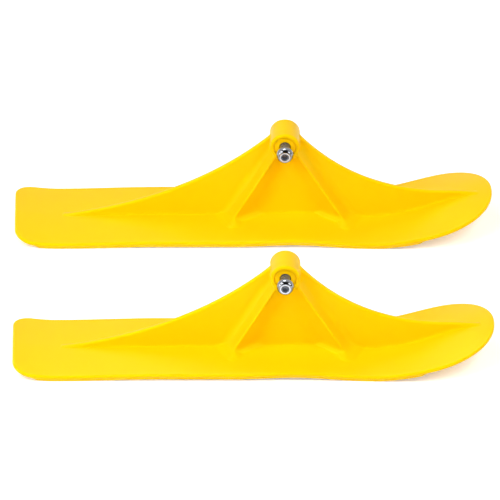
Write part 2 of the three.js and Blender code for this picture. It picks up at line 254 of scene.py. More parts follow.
@dataclass(frozen=True)
class PlatedSteel:
    """Steel hardware, turned or cold-headed, then plated or left bright."""

    name: str
    colour: str
    duller: str
    roughness: float
    smear_roughness: float
    metallic: float = 1.0
    smear_mm: float = 5.0
    smear_span: tuple[float, float] = (0.4, 0.75)
    wave_mm: float = 5.65
    wave_depth_mm: float = 0.003

    def material(self) -> bpy.types.Material:
        """Builds the metal's material.

        Returns:
            A metal whose gloss is smeared and whose skin is very slightly wavy along the axle.
        """
        material = empty_material(self.name)
        tree = material.node_tree
        place = add_node(tree, "TexCoord").outputs["Object"]
        # Handling dulls a plated face in small smears.
        smear = add_node(
            tree, "TexNoise", {"Scale": noise_scale(self.smear_mm), "Detail": 3.0}, {"Vector": place}
        )
        colour = add_node(
            tree,
            "Mix",
            {MixInput.COLOUR_A: linear(self.colour), MixInput.COLOUR_B: linear(self.duller)},
            {MixInput.FACTOR: smear.outputs["Fac"]},
            data_type="RGBA",
        )
        gloss = add_node(
            tree,
            "MapRange",
            {
                "From Min": self.smear_span[0],
                "From Max": self.smear_span[1],
                "To Min": self.roughness,
                "To Max": self.smear_roughness,
            },
            {"Value": smear.outputs["Fac"]},
        )
        # Turning and grinding leave a slow, shallow wave along the axle, which bends its highlights.
        own_factor = 20 / math.tau  # At scale 1 the wave texture has this many waves in a metre.
        wave = add_node(
            tree,
            "TexWave",
            {"Scale": noise_scale(self.wave_mm) / own_factor, "Distortion": 0.4, "Detail": 1.0},
            {"Vector": place},
            wave_type="BANDS",
            bands_direction="Y",
        )
        skin = add_node(
            tree,
            "Bump",
            {"Strength": 1.0, "Distance": self.wave_depth_mm * MM},
            {"Height": wave.outputs["Fac"]},
        )
        shader = add_node(
            tree,
            "BsdfPrincipled",
            {"Metallic": self.metallic},
            {
                "Base Color": colour.outputs[MIXED_COLOUR],
                "Roughness": gloss.outputs["Result"],
                "Normal": skin.outputs["Normal"],
            },
        )
        add_node(tree, "OutputMaterial", links={"Surface": shader.outputs["BSDF"]})
        return material


# Injection-moulded polyethylene: saturated yellow that stays warm in its own shade, satin gloss.
YELLOW_POLYETHYLENE = MouldedPlastic(
    name="moulded_yellow_polyethylene",
    colour="#ffc800",
    paler="#ffcc06",
    roughness=0.36,
    roughness_spread=0.04,
    subsurface=0.4,
)
# Moulded nylon: the same dye in a harder plastic, a little deeper and flatter.
YELLOW_NYLON = MouldedPlastic(
    name="moulded_yellow_nylon",
    colour="#fcc400",
    paler="#ffca04",
    roughness=0.46,
    roughness_spread=0.04,
    subsurface=0.05,
    dye_patch_mm=9.0,
    skin_grain_mm=0.9,
    skin_depth_mm=0.008,
    ripple_mm=6.0,
    ripple_depth_mm=0.01,
    ior=1.53,
)
# Nickel-chrome plated steel: cool, mirror-like, every edge drawn by what it reflects.
CHROME_PLATE = PlatedSteel(
    name="nickel_chrome_plated_steel",
    colour="#96989d",
    duller="#85878c",
    roughness=0.06,
    smear_roughness=0.12,
)
# The same plate at the socket's mouth, painted paler and bluish: a painted highlight ring whose blue also
# cancels the ski's yellow in it; rough, so it catches light from all sides.
PAINTED_HIGHLIGHT_PLATE = PlatedSteel(
    name="chrome_plated_steel_painted_highlight",
    colour="#dfe3ee",
    duller="#cdd2dc",
    roughness=0.3,
    smear_roughness=0.38,
    metallic=0.5,
)
# Ground shank under a thin zinc coat: cool grey, half dull.
ZINC_SHANK = PlatedSteel(
    name="zinc_coated_ground_steel",
    colour="#747a86",
    duller="#646a75",
    roughness=0.24,
    smear_roughness=0.34,
    metallic=0.5,
)
# Turned, unplated steel: greyer and softer. Its tube is inside the hub, where no view shows it.
TURNED_STEEL = PlatedSteel(
    name="turned_steel",
    colour="#a8aaae",
    duller="#8e9094",
    roughness=0.3,
    smear_roughness=0.42,
    wave_depth_mm=0.01,
)


def ease(share: Array) -> Array:
    """Eases from 0, at share 0 and before, to 1, at share 1 and after, without a corner at either end."""
    clamped = np.clip(share, 0.0, 1.0)
    return clamped * clamped * (3 - 2 * clamped)


def rounded_overlap(first: Array, second: Array, radius: float) -> Array:
    """Overlap of two fields whose common edge is rounded outwards.

    Args:
        first: signed distances from one face.
        second: signed distances from the other face.
        radius: the edge's radius.

    Returns:
        Signed distances from the rounded body.
    """
    a = first + radius
    b = second + radius
    return np.hypot(np.maximum(a, 0), np.maximum(b, 0)) + np.minimum(np.maximum(a, b), 0) - radius


def filleted_union(first: Array, second: Array, reach: Array | float) -> Array:
    """Union of two fields whose common corner is filled with a soft fillet.

    Args:
        first: signed distances from one body.
        second: signed distances from the other body.
        reach: how far the fillet reaches from the corner.

    Returns:
        Signed distances from the joined body.
    """
    share = np.clip(0.5 + 0.5 * (second - first) / reach, 0.0, 1.0)
    return second + (first - second) * share - reach * share * (1 - share)


def signed_distance(points: Array, loop: Array) -> Array:
    """Distance of points in a plane from a closed outline.

    Args:
        points: the points, one row of two numbers each.
        loop: the outline's corners in order.

    Returns:
        Distances, negative inside the outline.
    """
    nearest = np.full(len(points), np.inf)
    inside = np.zeros(len(points), bool)
    px, py = points[:, 0], points[:, 1]
    for (ax, ay), (bx, by) in zip(loop, np.roll(loop, -1, axis=0), strict=True):
        dx, dy = bx - ax, by - ay
        along = np.clip(((px - ax) * dx + (py - ay) * dy) / (dx * dx + dy * dy), 0, 1)
        gap = (px - ax - along * dx) ** 2 + (py - ay - along * dy) ** 2
        np.minimum(nearest, gap, out=nearest)
        if dy:
            crosses = ((ay > py) != (by > py)) & (px < ax + (py - ay) * dx / dy)
            inside ^= crosses
    return np.where(inside, -1.0, 1.0) * np.sqrt(nearest)


@dataclass(frozen=True)
class DistanceTable:
    """Signed distances from an outline, sampled over its plane and read between the samples."""

    low: Array
    step: float
    values: Array

    @classmethod
    def around(cls, loop: Array, margin: float, step: float) -> "DistanceTable":
        """Samples the plane round an outline.

        Args:
            loop: the outline's corners in order.
            margin: how far past the outline the samples reach.
            step: distance between samples.

        Returns:
            The table.
        """
        low = loop.min(axis=0) - margin
        counts = np.ceil((loop.max(axis=0) + margin - low) / step).astype(int) + 1
        grid = np.indices(tuple(counts)).reshape(2, -1).T * step + low
        return cls(low, step, signed_distance(grid, loop).reshape(counts))

    def at(self, first: Array, second: Array) -> Array:
        """Reads the distance at places in the plane.

        Args:
            first: places along the table's first axis.
            second: places along its second axis; the two broadcast together.

        Returns:
            The distances there.
        """
        # Places stay just short of the last samples, so that each has a sample past it.
        rows, columns = np.array(self.values.shape) - 1.001
        a = np.clip((first - self.low[0]) / self.step, 0, rows)
        b = np.clip((second - self.low[1]) / self.step, 0, columns)
        i, j = a.astype(int), b.astype(int)
        a, b = a - i, b - j
        near = self.values[i, j] * (1 - b) + self.values[i, j + 1] * b
        far = self.values[i + 1, j] * (1 - b) + self.values[i + 1, j + 1] * b
        return near * (1 - a) + far * a


@dataclass(frozen=True)
class FieldSkin:
    """Skins the zero level of a distance field with an even net of quads."""

    low: Array
    high: Array
    cell: float
    slab: int = 24
    pulls: int = 2

    def quads(self, distance: Callable[[Array, Array, Array], Array]) -> tuple[Array, Array]:
        """Skins a field.

        Args:
            distance: signed distance at places given by three arrays that broadcast together.

        Returns:
            The net's vertices and its quads.
        """
        counts = np.ceil((self.high - self.low) / self.cell).astype(int) + 1
        xs, ys, zs = (low + np.arange(n) * self.cell for low, n in zip(self.low, counts, strict=True))
        rows = (
            distance(xs[start : start + self.slab, None, None], ys[None, :, None], zs[None, None, :])
            for start in range(0, len(xs), self.slab)
        )
        values = np.concatenate([row.astype(np.float32) for row in rows])
        inside = values < 0
        cells, index = self._mixed_cells(inside)
        vertices = self._crossing_points(values, cells)
        return self._pulled(vertices, distance), self._faces(inside, index)

    @staticmethod
    def _mixed_cells(inside: Array) -> tuple[Array, Array]:
        """Finds the cells that the surface passes through.

        Args:
            inside: which samples lie inside the body.

        Returns:
            The cells, and a grid with each one's number.
        """
        count = np.zeros(tuple(n - 1 for n in inside.shape), np.int8)
        for corner in np.ndindex(2, 2, 2):
            count += inside[tuple(slice(c, c + n) for c, n in zip(corner, count.shape, strict=True))]
        mixed = (count > 0) & (count < 8)
        index = np.full(mixed.shape, -1, np.int64)
        index[mixed] = np.arange(mixed.sum())
        return np.argwhere(mixed), index

    def _crossing_points(self, values: Array, cells: Array) -> Array:
        """Puts a vertex at the mean of the points where each cell's edges cross the surface.

        Args:
            values: the field's samples.
            cells: the cells that the surface passes through.

        Returns:
            One vertex for each cell.
        """
        total = np.zeros((len(cells), 3))
        hits = np.zeros(len(cells))
        for axis in range(3):
            for corner in np.ndindex(2, 2, 2):
                if corner[axis]:
                    continue
                start = cells + corner
                end = start + np.eye(3, dtype=int)[axis]
                a, b = values[tuple(start.T)], values[tuple(end.T)]
                crossing = (a < 0) != (b < 0)
                share = np.where(crossing, a / np.where(crossing, a - b, 1), 0)
                total += crossing[:, None] * np.array(corner)
                total[:, axis] += share
                hits += crossing
        return self.low + self.cell * (cells + total / hits[:, None])

    def _pulled(self, vertices: Array, distance: Callable[[Array, Array, Array], Array]) -> Array:
        """Pulls the vertices onto the field's exact zero level, which takes the net's ripple away.

        Args:
            vertices: the vertices.
            distance: the field.

        Returns:
            The vertices on the surface.
        """
        probe = self.cell / 4
        least_steepness = 0.25
        for _ in range(self.pulls):
            here = distance(*vertices.T)
            slope = np.empty_like(vertices)
            for axis in range(3):
                shift = np.zeros(3)
                shift[axis] = probe
                slope[:, axis] = distance(*(vertices + shift).T) - distance(*(vertices - shift).T)
            slope /= 2 * probe
            steepness = np.maximum((slope * slope).sum(axis=1), least_steepness)
            move = slope * (here / steepness)[:, None]
            vertices = vertices - np.clip(move, -self.cell / 2, self.cell / 2)
        return vertices

    @staticmethod
    def _faces(inside: Array, index: Array) -> Array:
        """Joins the four cells round each grid edge that crosses the surface.

        Args:
            inside: which samples lie inside the body.
            index: each cell's number.

        Returns:
            Quads that face outwards.
        """
        quads = []
        for axis in range(3):
            second, third = (axis + 1) % 3, (axis + 2) % 3
            before = np.moveaxis(inside, (axis, second, third), (0, 1, 2))[:-1, 1:-1, 1:-1]
            after = np.moveaxis(inside, (axis, second, third), (0, 1, 2))[1:, 1:-1, 1:-1]
            numbers = np.moveaxis(index, (axis, second, third), (0, 1, 2))
            for leaving, order in ((True, (0, 1, 2, 3)), (False, (3, 2, 1, 0))):
                i, j, k = np.nonzero((before == leaving) & (after != leaving))
                around = ((0, 0), (1, 0), (1, 1), (0, 1))
                ring = [numbers[i, j + across, k + up] for across, up in around]
                quads.append(np.stack([ring[n] for n in order], axis=1))
        return np.concatenate(quads)


def smooth_mesh(name: str, vertices: Array, faces: Sequence[Sequence[int]]) -> bpy.types.Mesh:
    """Makes a smooth-shaded mesh.

    Args:
        name: the mesh's name.
        vertices: places in millimetres.
        faces: the corners of each face.

    Returns:
        The mesh.
    """
    mesh = bpy.data.meshes.new(name)
    mesh.from_pydata((np.asarray(vertices) * MM).tolist(), [], [list(face) for face in faces])
    mesh.validate()
    mesh.shade_smooth()
    return mesh


def add_object(name: str, data: bpy.types.ID) -> bpy.types.Object:
    """Makes an object and links it to the scene.

    Args:
        name: the object's name.
        data: its mesh, lamp or camera.

    Returns:
        The object.
    """
    made = bpy.data.objects.new(name, data)
    bpy.context.scene.collection.objects.link(made)
    return made


@dataclass(frozen=True)
class SkiBlade:
    """One ski blade: plate, edge rails, fin, gusset ribs and hub in one moulding.

    Places are measured from the hub's axis along X, the middle line across Y and the plate's
    flat level along Z.
    """

    tail_reach: float = 215.0
    nose_reach: float = 164.9
    body_width: float = 80.4
    tail_corner_radius: float = 15.5
    flare_start: float = 60.0
    shovel_x: float = 115.0
    shovel_width: float = 87.4
    nose_fullness: float = 2.18
    plate_wall: float = 3.4
    edge_round: float = 1.2
    body_crown: float = 1.6
    nose_crown: float = 6.6
    nose_crown_start: float = 88.0
    crown_power: float = 1.6
    camber: float = 3.3
    camber_peak_x: float = 8.0
    rear_lift: float = 1.7
    rear_lift_length: float = 80.0
    arch_length: float = 48.0
    rear_contact: float = 180.0
    front_contact: float = 66.0
    rocker_start: float = 67.0
    rocker_ease: float = 29.0
    rocker_slope: float = 0.33
    tail_curl: float = 4.5
    tail_curl_length: float = 35.0
    rail_depth: float = 2.0
    rail_width: float = 3.0
    rail_inset: float = 0.8
    rail_ramp: float = 5.0
    rail_end_sink: float = 0.2
    rail_tail_setback: float = 14.4
    rail_nose_setback: float = 52.4
    rail_round: float = 0.7
    rail_fillet: float = 0.4
    hub_height: float = 73.3
    hub_diameter: float = 24.0
    hub_width: float = 24.0
    hub_rim_round: float = 1.6
    bore_diameter: float = 12.6
    seat_diameter: float = 17.7
    seat_depth: float = 3.3
    seat_edge_soften: float = 0.3
    fin_thickness: float = 4.0
    fin_top_round: float = 1.4
    fin_end_height: float = 0.3
    fin_tail_setback: float = 39.0
    fin_dip_setback: float = 38.0
    fin_nose_setback: float = 12.0
    fin_shoulder_out: float = 12.4
    fin_shoulder_up: float = 3.8
    fin_dip_height: float = 24.7
    fin_foot_sink: float = 2.2
    # Where the fin's curves bend: shares of the way from shoulder to tail and from tail to shoulder,
    # and of the way from shoulder to dip.
    rear_bend: tuple[float, float] = (0.384, 0.216)
    front_bend: float = 0.393
    root_fillet: float = 2.2
    fade_start: float = 0.6
    fade_floor: float = 0.02
    rib_tip: float = 0.5
    rib_outer_draft: float = 0.5
    rib_inner_draft: float = 1.6
    rib_toe_draft: float = 0.45
    rib_round: float = 0.6
    rib_ridge_round: float = 0.8
    # How far from the hub's axis the middle of a rib is, at its foot and at its head.
    rear_rib: tuple[float, float] = (42.4, 6.2)
    front_rib: tuple[float, float] = (48.8, 9.4)
    rib_head_drop: float = 6.0
    rib_foot_reach: float = 13.6
    rib_head_reach: float = 12.2
    rib_toe_reach: float = 7.0
    rib_toe_round: float = 4.0
    rib_toe_height: float = 6.5
    rib_toe_power: float = 4.0
    rib_fillet: float = 4.0
    rib_foot_fillet: float = 7.5
    hub_fillet: float = 2.0
    curve_steps: int = 40
    fine_cell: float = 0.7
    coarse_cell: float = 1.4
    outline_table: DistanceTable = field(init=False)
    fin_table: DistanceTable = field(init=False)

    def __post_init__(self) -> None:
        """Samples the two outlines that the fields are made from."""
        margin, step = 6.0, 0.5
        object.__setattr__(self, "outline_table", DistanceTable.around(self.plan_outline(), margin, step))
        object.__setattr__(self, "fin_table", DistanceTable.around(self.fin_outline(), margin, step))

    def half_width(self, x: Array) -> Array:
        """Half the plate's width ahead of the tail's corners and behind the shovel's widest place."""
        flare = ease((x - self.flare_start) / (self.shovel_x - self.flare_start))
        return (self.body_width + (self.shovel_width - self.body_width) * flare) / 2

    def edge_height(self, x: Array) -> Array:
        """Height of the plate's upper edge over its flat level: camber, nose rocker and tail curl.

        Args:
            x: places along the ski.

        Returns:
            Heights there.
        """
        lift = self.rear_lift * ease((x + self.rear_contact) / self.rear_lift_length)
        arch_share = ease((x - self.camber_peak_x + self.arch_length) / self.arch_length)
        arch = (self.camber - self.rear_lift) * arch_share
        fall = ease((self.front_contact - x) / (self.front_contact - self.camber_peak_x))
        ahead = np.maximum(0, x - self.rocker_start)
        rocker = self.rocker_slope * (np.hypot(ahead, self.rocker_ease) - self.rocker_ease)
        behind = np.maximum(0, self.tail_curl_length - self.tail_reach - x) / self.tail_curl_length
        return (lift + arch) * fall + rocker + self.tail_curl * behind**2

    def plate_top(self, x: Array, y: Array) -> Array:
        """Height of the plate's upper face.

        Args:
            x: places along the ski.
            y: places across it.

        Returns:
            Heights there.
        """
        rise = ease((x - self.nose_crown_start) / (self.nose_reach - self.nose_crown_start))
        crown = self.body_crown + (self.nose_crown - self.body_crown) * rise
        ahead = np.maximum(0, x - self.shovel_x) / (self.nose_reach - self.shovel_x)
        outward = np.hypot(ahead, np.abs(y) / self.half_width(x))
        return self.edge_height(x) + crown * (1 - np.minimum(1, outward) ** self.crown_power)

    def plan_outline(self) -> Array:
        """Outline of the plate seen from above.

        Returns:
            Its corners in order.
        """
        half, radius = self.body_width / 2, self.tail_corner_radius
        turn = np.linspace(0, math.pi / 2, self.curve_steps // 2)
        tail = np.stack(
            [radius * (1 - np.cos(turn)) - self.tail_reach, half - radius * (1 - np.sin(turn))], axis=1
        )
        xs = np.linspace(self.flare_start, self.shovel_x, self.curve_steps // 2)
        flare = np.stack([xs, self.half_width(xs)], axis=1)
        turn = np.linspace(0, math.pi / 2, self.curve_steps * 2)[1:]
        # A superellipse: its two halves of the equation are powers of a sine and a cosine.
        power = 2 / self.nose_fullness
        length = self.nose_reach - self.shovel_x
        ahead = length * np.sin(turn) ** power
        beside = self.shovel_width / 2 * np.cos(turn).clip(0) ** power
        nose = np.stack([self.shovel_x + ahead, beside], axis=1)
        right = np.concatenate([tail, flare, nose])
        return np.concatenate([right, right[-2::-1] * (1, -1)])

    def fin_outline(self) -> Array:
        """Outline of the fin seen from the side, with its foot sunk into the plate.

        Returns:
            Its corners in order.
        """
        shoulder = self.hub_height + self.fin_shoulder_up
        tail_x = self.fin_tail_setback - self.tail_reach
        dip_x = self.nose_reach - self.fin_dip_setback
        nose_x = self.nose_reach - self.fin_nose_setback
        ends = np.array([tail_x, nose_x])
        tail_z, nose_z = self.plate_top(ends, np.zeros(2)) + self.fin_end_height
        out, dip = self.fin_shoulder_out, self.fin_dip_height
        back, up = self.rear_bend
        rear_bend = (-out + (tail_x + out) * back, tail_z + (shoulder - tail_z) * up)
        front_bend = (out + (dip_x - out) * self.front_bend, dip)
        steps = np.linspace(0, 1, self.curve_steps)[:, None]
        curves = [
            self._bend((tail_x, tail_z), rear_bend, (-out, shoulder), steps),
            self._bend((out, shoulder), front_bend, (dip_x, dip), steps),
            self._bend((dip_x, dip), ((dip_x + nose_x) / 2, dip), (nose_x, nose_z), steps)[1:],
        ]
        top = np.concatenate(curves)
        xs = np.linspace(nose_x, tail_x, self.curve_steps * 2)
        foot = np.stack([xs, self.plate_top(xs, np.zeros(len(xs))) - self.fin_foot_sink], axis=1)
        return np.concatenate([top, foot])

    @staticmethod
    def _bend(start: Sequence[float], bend: Sequence[float], end: Sequence[float], steps: Array) -> Array:
        """Points of a curve whose ends aim at one bend point, at a column of shares along it."""
        rest = 1 - steps
        return rest**2 * np.array(start) + 2 * rest * steps * np.array(bend) + steps**2 * np.array(end)

    def plate_field(self, x: Array, y: Array, z: Array, outline: Array) -> Array:
        """Signed distance from the crowned plate.

        Args:
            x: places along the ski.
            y: places across it.
            z: heights.
            outline: distances from the plan outline.

        Returns:
            The distances.
        """
        probe = 0.5
        rise = (self.edge_height(x + probe) - self.edge_height(x - probe)) / (2 * probe)
        middle = self.plate_top(x, y) - self.plate_wall / 2
        across = np.abs(z - middle) / np.sqrt(1 + rise**2) - self.plate_wall / 2
        return rounded_overlap(outline, across, self.edge_round)

    def rail_field(self, x: Array, z: Array, outline: Array) -> Array:
        """Signed distance from the two rails that run along the sole's edges.

        Args:
            x: places along the ski.
            z: heights.
            outline: distances from the plan outline.

        Returns:
            The distances.
        """
        rear = self.rail_tail_setback - self.tail_reach
        front = self.nose_reach - self.rail_nose_setback
        ramp = np.clip(np.minimum(x - rear, front - x) / self.rail_ramp, -self.rail_end_sink, 1)
        bottom = self.edge_height(x) - self.plate_wall - self.rail_depth * ramp
        top = self.edge_height(x) - self.plate_wall / 2
        middle, half = (bottom + top) / 2, (top - bottom) / 2
        beside = np.abs(outline + self.rail_inset + self.rail_width / 2) - self.rail_width / 2
        return rounded_overlap(beside, np.abs(z - middle) - half, self.rail_round)

    def rib_field(self, x: Array, y: Array, z: Array, end: int) -> Array:
        """Signed distance from the gusset ribs ahead of the hub, or behind it.

        Args:
            x: places along the ski.
            y: places across it.
            z: heights.
            end: 1 for the ribs ahead of the hub, -1 for those behind it.

        Returns:
            The distances.
        """
        foot_out, head_out = self.front_rib if end > 0 else self.rear_rib
        foot_z = float(self.plate_top(np.array(end * foot_out), np.array(0.0)))
        head_z = self.hub_height - self.rib_head_drop
        along = (z - foot_z) / (head_z - foot_z)
        middle = end * (foot_out + (head_out - foot_out) * along)
        lean = math.hypot(1, (foot_out - head_out) / (head_z - foot_z))
        low = np.clip(1 - (z - foot_z) / self.rib_toe_height, 0, 1)
        straight = self.rib_foot_reach + (self.rib_head_reach - self.rib_foot_reach) * along
        reach = straight + self.rib_toe_reach * low**self.rib_toe_power
        inward = np.maximum(straight - np.abs(y), 0)
        toe = np.maximum(reach - np.maximum(np.abs(y), straight), 0)
        wide = self.rib_tip / 2 + self.rib_toe_draft * toe
        faces = [
            (end * side * (x - middle) - wide - draft * inward) / math.hypot(lean, draft)
            for side, draft in ((1, self.rib_outer_draft), (-1, self.rib_inner_draft))
        ]
        ends = np.maximum(foot_z - self.plate_wall / 2 - z, z - head_z)
        power = self.rib_toe_power
        slope = power * self.rib_toe_reach / self.rib_toe_height * low ** (power - 1)
        beyond = np.abs(y) - self.rib_foot_reach - self.rib_toe_reach
        outward = rounded_overlap((np.abs(y) - reach) / np.hypot(1, slope), beyond, self.rib_toe_round)
        ridge = rounded_overlap(*faces, self.rib_ridge_round)
        return rounded_overlap(ridge, np.maximum(outward, ends), self.rib_round)

    def hub_field(self, x: Array, y: Array, z: Array) -> Array:
        """Signed distance from the solid hub, before it is bored."""
        radial = np.hypot(x, z - self.hub_height) - self.hub_diameter / 2
        return rounded_overlap(radial, np.abs(y) - self.hub_width / 2, self.hub_rim_round)

    def bore_field(self, x: Array, y: Array, z: Array) -> Array:
        """Signed distance from the space in the hub: the bore and the two flange seats.

        Args:
            x: places along the ski.
            y: places across it.
            z: heights.

        Returns:
            The distances.
        """
        radial = np.hypot(x, z - self.hub_height)
        floor = self.hub_width / 2 - self.seat_depth
        seat = np.maximum(radial - self.seat_diameter / 2, floor - np.abs(y))
        return np.minimum(radial - self.bore_diameter / 2, seat)

    def distance(self, x: Array, y: Array, z: Array) -> Array:
        """Signed distance from the whole moulding.

        Args:
            x: places along the ski.
            y: places across it.
            z: heights.

        Returns:
            The distances.
        """
        outline = self.outline_table.at(x, y)
        plate = self.plate_field(x, y, z, outline)
        base = filleted_union(plate, self.rail_field(x, z, outline), self.rail_fillet)
        # Fillets belong to the upper side only, so they fade out inside the plate's wall.
        depth = (z - self.plate_top(x, y)) / self.plate_wall
        over = np.clip(depth + self.fade_start, self.fade_floor, 1)
        side = np.abs(y) - self.fin_thickness / 2
        fin = rounded_overlap(self.fin_table.at(x, z), side, self.fin_top_round)
        body = filleted_union(base, fin, self.root_fillet * over)
        for end in (-1, 1):
            rib = self.rib_field(x, y, z, end)
            foot = filleted_union(plate, rib, self.rib_foot_fillet * over)
            body = np.minimum(filleted_union(body, rib, self.rib_fillet * over), foot)
        body = filleted_union(body, self.hub_field(x, y, z), self.hub_fillet)
        return -filleted_union(-body, self.bore_field(x, y, z), self.seat_edge_soften)

    def build(self) -> bpy.types.Mesh:
        """Skins the moulding.

        Returns:
            Its mesh, about the hub's axis, the middle line and the plate's flat level.
        """
        margin = 3.0
        half = self.shovel_width / 2
        low = np.array([-self.tail_reach, -half, -self.plate_wall - self.rail_depth]) - margin
        high = np.array([self.nose_reach, half, self.hub_height + self.hub_diameter / 2]) + margin
        cell = self.fine_cell
        vertices, quads = FieldSkin(low, high, cell).quads(self.distance)
        return smooth_mesh("ski_blade_pattern", vertices, quads)

    def dress(self, mesh: bpy.types.Mesh, finish: MouldedPlastic) -> None:
        """Gives the moulding's mesh its plastic."""
        mesh.materials.append(finish.material())

    def place(self, mesh: bpy.types.Mesh, place: SkiPlace, origin: Vector) -> bpy.types.Object:
        """Puts one of the two skis where its node is.

        Args:
            mesh: the moulding's mesh.
            place: which ski it is.
            origin: the hub's centre in the frame, in metres.

        Returns:
            The ski blade's object.
        """
        blade = add_object(place.named("blade_moulding"), mesh)
        blade.location = origin - Vector((0, 0, self.hub_height * MM))
        return blade


class Zone(Enum):
    """How a stretch of a turned piece is finished; the value is its material's place in the list."""

    PLATED = 0
    # The paler plate at the socket's mouth, a painted highlight ring.
    PAINTED_HIGHLIGHT = 1
    SHANK = 2


@dataclass(frozen=True)
class Ring:
    """One ring of a turned piece: its place along the axle, its radius, any flats and its finish.

    The finish holds for the faces that run from this ring to the next one.
    """

    along: float
    radius: float
    flats: int = 0
    zone: Zone = Zone.PLATED

    def points(self, sides: int) -> Array:
        """Places the ring's points round the axle.

        Args:
            sides: how many points a full ring has.

        Returns:
            The points; a ring without radius has only one.
        """
        if self.radius == 0:
            return np.array([[0.0, self.along, 0.0]])
        angle = np.arange(sides) * 2 * math.pi / sides
        radius = np.full(sides, self.radius)
        if self.flats:
            wedge = 2 * math.pi / self.flats
            radius = self.radius * math.cos(wedge / 2) / np.cos(angle % wedge - wedge / 2)
        return np.stack([radius * np.cos(angle), np.full(sides, self.along), radius * np.sin(angle)], axis=1)


def arc_rings(radius: float, along: float, edge: float, turn: tuple[float, float]) -> list[Ring]:
    """Rings of a rounded edge.

    Args:
        radius: distance of the round's centre from the axle.
        along: place of its centre along the axle.
        edge: the round's own radius.
        turn: first and last angle in degrees; 0 points outwards and 90 along the axle.

    Returns:
        The rings in order.
    """
    steps = 4
    angles = [math.radians(turn[0] + (turn[1] - turn[0]) * step / steps) for step in range(steps + 1)]
    return [Ring(along + edge * math.sin(a), radius + edge * math.cos(a)) for a in angles]


def turned_piece(name: str, rings: Iterable[Ring], closed: bool, flip: bool = False) -> bpy.types.Object:
    """Skins a row of rings into a turned piece.

    Args:
        name: the object's name.
        rings: the rings, from the axle outwards at its low end and back in at its high end.
        closed: whether the last ring joins the first, as on a tube.
        flip: whether the piece is turned end for end.

    Returns:
        The object.
    """
    sides = 96
    sharp_over = math.radians(32)
    rings = list(rings)
    blocks = [ring.points(sides) for ring in rings]
    starts = np.cumsum([0] + [len(block) for block in blocks])
    pairs = list(zip(range(len(blocks) - 1), range(1, len(blocks)), strict=True))
    if closed:
        pairs.append((len(blocks) - 1, 0))
    faces = []
    zones = []
    for low, high in pairs:
        for side in range(sides):
            a = [starts[low] + (side + n) % len(blocks[low]) for n in (0, 1)]
            b = [starts[high] + (side + n) % len(blocks[high]) for n in (0, 1)]
            corners = [a[0], b[0], b[1], a[1]]
            faces.append(list(dict.fromkeys(int(corner) for corner in corners)))
            zones.append(rings[low].zone.value)
    vertices = np.concatenate(blocks)
    if flip:
        vertices = vertices * (-1, -1, 1)
    mesh = smooth_mesh(name, vertices, faces)
    mesh.polygons.foreach_set("material_index", zones)
    mesh.set_sharp_from_angle(angle=sharp_over)
    return add_object(name, mesh)


@dataclass(frozen=True)
class FlangedBushing:
    """Moulded sleeve with a flange, seated in one end of the hub."""

    barrel_diameter: float = 12.0
    flange_diameter: float = 17.6
    flange_thickness: float = 2.0
    bore_diameter: float = 8.6
    face_from_middle: float = 11.0
    length: float = 5.7
    edge: float = 0.4
    mouth_chamfer: float = 0.35

    def build(self, place: SkiPlace, side: Side) -> bpy.types.Object:
        """Turns the bushing, its flange outwards.

        Args:
            place: which ski it belongs to.
            side: which side of the hub it sits on.

        Returns:
            The bushing's object, about the hub's centre.
        """
        diameters = (self.bore_diameter, self.barrel_diameter, self.flange_diameter)
        bore, barrel, flange = (diameter / 2 for diameter in diameters)
        inner = self.face_from_middle - self.length
        shoulder = self.face_from_middle - self.flange_thickness
        rings = [
            Ring(inner, bore),
            *arc_rings(barrel - self.edge, inner + self.edge, self.edge, (-90, 0)),
            Ring(shoulder, barrel),
            Ring(shoulder, flange),
            *arc_rings(flange - self.edge, self.face_from_middle - self.edge, self.edge, (0, 90)),
            Ring(self.face_from_middle, bore + self.mouth_chamfer),
            Ring(self.face_from_middle - self.mouth_chamfer, bore),
        ]
        name = place.named(f"{side.name.lower()}_bushing_sleeve")
        return turned_piece(name, rings, closed=True, flip=side is Side.NEAR)


@dataclass(frozen=True)
class SpacerTube:
    """Turned steel tube that keeps the two bushings apart on the axle."""

    length: float = 10.0
    outer_diameter: float = 11.0
    bore_diameter: float = 8.6
    edge: float = 0.3

    def build(self, place: SkiPlace) -> bpy.types.Object:
        """Turns the tube.

        Args:
            place: which ski it belongs to.

        Returns:
            The tube's object, about the hub's centre.
        """
        half, outer, bore = self.length / 2, self.outer_diameter / 2, self.bore_diameter / 2
        rings = [
            Ring(self.edge - half, bore),
            Ring(-half, bore + self.edge),
            *arc_rings(outer - self.edge, self.edge - half, self.edge, (-90, 0)),
            *arc_rings(outer - self.edge, half - self.edge, self.edge, (0, 90)),
            Ring(half, bore + self.edge),
            Ring(half - self.edge, bore),
        ]
        return turned_piece(place.named("spacer_sleeve"), rings, closed=True)


